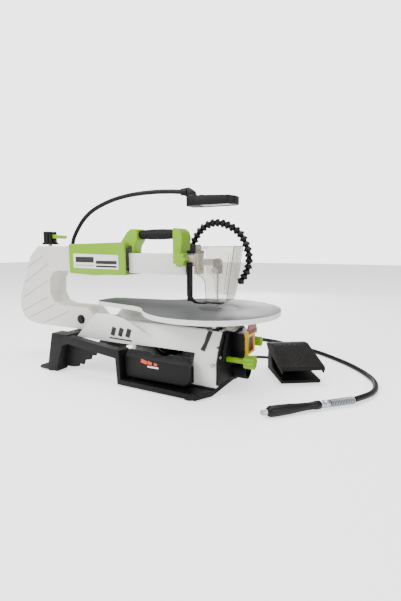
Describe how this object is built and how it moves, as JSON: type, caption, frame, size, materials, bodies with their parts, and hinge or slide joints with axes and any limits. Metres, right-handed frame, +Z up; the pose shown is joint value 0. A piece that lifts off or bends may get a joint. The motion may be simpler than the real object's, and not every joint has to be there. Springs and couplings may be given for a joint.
{
  "type": "scroll saw",
  "caption": "Bench scroll saw with C-frame, parallel rocker arms, tilting paddle-shaped table, lamp, air hose, foot pedal and flexible shaft handpiece.",
  "frame": {"origin": "centre of the four bench-bolt holes, on the plane the feet rest on", "axes": "+X towards the blade and operator, +Y to the saw's right side, +Z up; the blade plane is y = 0"},
  "size_m": [0.7997, 0.5009, 0.3727],
  "materials": {
    "moulded_black": "satin moulded",
    "rubber_black": "matt",
    "white_paint": "semi-gloss",
    "white_cover": "satin moulded",
    "lime_plastic": "semi-gloss moulded",
    "label_film": "printed film",
    "brushed_top": "brushed",
    "dark_steel": "satin",
    "bright_steel": "polished",
    "cast_grey": "cast",
    "nose_paint": "satin",
    "yellow_plastic": "moulded",
    "green_key": "moulded",
    "red_key": "moulded",
    "clear_guard": "clear polycarbonate",
    "lens": "frosted",
    "cable_black": "satin sheath"
  },
  "bodies": {
    "root": {"base_pan": "moulded_black", "rubber_feet": "rubber_black", "frame_left": "white_paint", "frame_right": "white_paint", "arm_cover": "lime_plastic", "arm_housing": "white_cover", "handle_grip": "rubber_black", "label_plate": "label_film", "body_cover": "white_cover", "front_plate": "moulded_black", "dust_port": "moulded_black", "switch_housing": "moulded_black", "switch_bezel": "yellow_plastic", "trunnion_seat": "cast_grey", "motor_housing": "moulded_black", "motor_end_bell": "moulded_black", "air_bellows": "rubber_black", "pivot_pins": "bright_steel", "pivot_cap": "moulded_black", "clipped_leads": "cable_black", "cover_screws": "bright_steel", "mains_inlet": "moulded_black", "nose_casting": "nose_paint", "guard_bracket": "moulded_black", "air_hose": "moulded_black", "gooseneck": "moulded_black", "pedal_base": "rubber_black", "pedal_cable": "cable_black", "cable_coil": "cable_black", "flex_shaft": "cable_black", "handpiece": "moulded_black"},
    "table": {"table_plate": "brushed_top", "table_insert": "dark_steel", "table_trunnion": "cast_grey"},
    "lower_rocker": {"lower_arm": "cast_grey"},
    "upper_rocker": {"upper_arm": "cast_grey"},
    "blade_link": {"blade": "bright_steel", "blade_clamps": "dark_steel", "clamp_screws": "bright_steel"},
    "rear_link": {"tension_rod": "bright_steel"},
    "tension_dial": {"tension_knob": "moulded_black"},
    "quick_lever": {"tension_lever": "lime_plastic"},
    "crank": {"motor_rotor": "dark_steel", "eccentric": "bright_steel"},
    "conrod": {"connecting_rod": "bright_steel"},
    "lock_dial": {"tilt_lock_knob": "lime_plastic"},
    "speed_dial": {"speed_knob": "lime_plastic"},
    "start_key": {"start_button": "green_key"},
    "stop_key": {"stop_button": "red_key"},
    "switch_flap": {"stop_flap": "red_key"},
    "bin": {"storage_bin": "moulded_black"},
    "hold_down": {"hold_down_post": "moulded_black", "hold_down_foot": "moulded_black"},
    "hold_dial": {"hold_down_knob": "lime_plastic"},
    "guard": {"blade_guard": "clear_guard"},
    "lamp_swivel": {"lamp_neck": "moulded_black"},
    "lamp": {"lamp_head": "moulded_black", "lamp_lens": "lens"},
    "treadle": {"pedal_treadle": "rubber_black"},
    "chuck": {"collet": "bright_steel"}
  },
  "joints": [
    {"name": "table_tilt", "type": "hinge", "parent": "root", "child": "table", "pos_m": [0.185, 0, 0.15], "axis": [1, 0, 0], "range_deg": [0, 45]},
    {"name": "lower_rock", "type": "hinge", "parent": "root", "child": "lower_rocker", "pos_m": [-0.138, 0, 0.104], "axis": [0, 1, 0], "range_deg": [-1.2, 1.2]},
    {"name": "upper_rock", "type": "hinge", "parent": "root", "child": "upper_rocker", "pos_m": [-0.138, 0, 0.235], "axis": [0, 1, 0], "range_deg": [-1.2, 1.2]},
    {"name": "blade_link_pivot", "type": "hinge", "parent": "lower_rocker", "child": "blade_link", "pos_m": [0.185, 0, 0.104], "axis": [0, 1, 0], "range_deg": [-1.2, 1.2]},
    {"name": "rear_link_pivot", "type": "hinge", "parent": "lower_rocker", "child": "rear_link", "pos_m": [-0.252, 0, 0.104], "axis": [0, 1, 0], "range_deg": [-1.2, 1.2]},
    {"name": "conrod_pivot", "type": "hinge", "parent": "lower_rocker", "child": "conrod", "pos_m": [0.06, 0, 0.097], "axis": [0, 1, 0], "range_deg": [-1.2, 1.2]},
    {"name": "tension_turn", "type": "hinge", "parent": "rear_link", "child": "tension_dial", "pos_m": [-0.252, 0, 0.285], "axis": [0, 0, 1], "range_deg": [-180, 180]},
    {"name": "tension_lever_flip", "type": "hinge", "parent": "tension_dial", "child": "quick_lever", "pos_m": [-0.252, 0, 0.2875], "axis": [0, -1, 0], "range_deg": [0, 85]},
    {"name": "motor_spin", "type": "hinge", "parent": "root", "child": "crank", "pos_m": [0.06, 0.06, 0.062], "axis": [0, 1, 0], "continuous": true},
    {"name": "tilt_lock_turn", "type": "hinge", "parent": "root", "child": "lock_dial", "pos_m": [0.24, -0.014, 0.06], "axis": [1, 0, 0], "range_deg": [-180, 180]},
    {"name": "speed_turn", "type": "hinge", "parent": "root", "child": "speed_dial", "pos_m": [0.234, 0.078, 0.076], "axis": [1, 0, 0], "range_deg": [-135, 135]},
    {"name": "start_press", "type": "slide", "parent": "root", "child": "start_key", "axis": [-1, 0, 0], "range_m": [0, 0.0025], "stiffness_N_per_m": 400},
    {"name": "stop_press", "type": "slide", "parent": "root", "child": "stop_key", "axis": [-1, 0, 0], "range_m": [0, 0.0025], "stiffness_N_per_m": 400},
    {"name": "flap_fold", "type": "hinge", "parent": "root", "child": "switch_flap", "pos_m": [0.242, 0.03, 0.107], "axis": [0, 1, 0], "range_deg": [0, 150]},
    {"name": "bin_tilt", "type": "hinge", "parent": "root", "child": "bin", "pos_m": [0.096, -0.074, 0.0205], "axis": [1, 0, 0], "range_deg": [0, 40]},
    {"name": "hold_down_slide", "type": "slide", "parent": "root", "child": "hold_down", "axis": [0, 0, 1], "range_m": [0, 0.045]},
    {"name": "hold_down_knob_turn", "type": "hinge", "parent": "root", "child": "hold_dial", "pos_m": [0.12, -0.025, 0.239], "axis": [0, 1, 0], "range_deg": [-180, 180]},
    {"name": "guard_flip", "type": "hinge", "parent": "root", "child": "guard", "pos_m": [0.14, 0, 0.262], "axis": [0, -1, 0], "range_deg": [0, 55]},
    {"name": "lamp_turn", "type": "hinge", "parent": "root", "child": "lamp_swivel", "pos_m": [0.11, 0, 0.364], "axis": [1, 0, 0], "range_deg": [-60, 60]},
    {"name": "lamp_tilt", "type": "hinge", "parent": "lamp_swivel", "child": "lamp", "pos_m": [0.134, 0, 0.355], "axis": [0, 1, 0], "range_deg": [-30, 30]},
    {"name": "pedal_press", "type": "hinge", "parent": "root", "child": "treadle", "pos_m": [0.27304, 0.1639, 0.047], "axis": [0.8387, 0.5446, 0], "range_deg": [0, 5], "stiffness_Nm_per_rad": 3, "springref_deg": -4.58},
    {"name": "chuck_spin", "type": "hinge", "parent": "root", "child": "chuck", "pos_m": [0.304, -0.093, 0.009], "axis": [0.712, 0.7021, 0], "continuous": true}
  ],
  "couplings": [
    {"joint": "upper_rock", "follows": "lower_rock", "ratio": 1},
    {"joint": "blade_link_pivot", "follows": "lower_rock", "ratio": -1},
    {"joint": "rear_link_pivot", "follows": "lower_rock", "ratio": -1},
    {"joint": "conrod_pivot", "follows": "lower_rock", "ratio": -1},
    {"joint": "chuck_spin", "follows": "motor_spin", "ratio": 1}
  ]
}
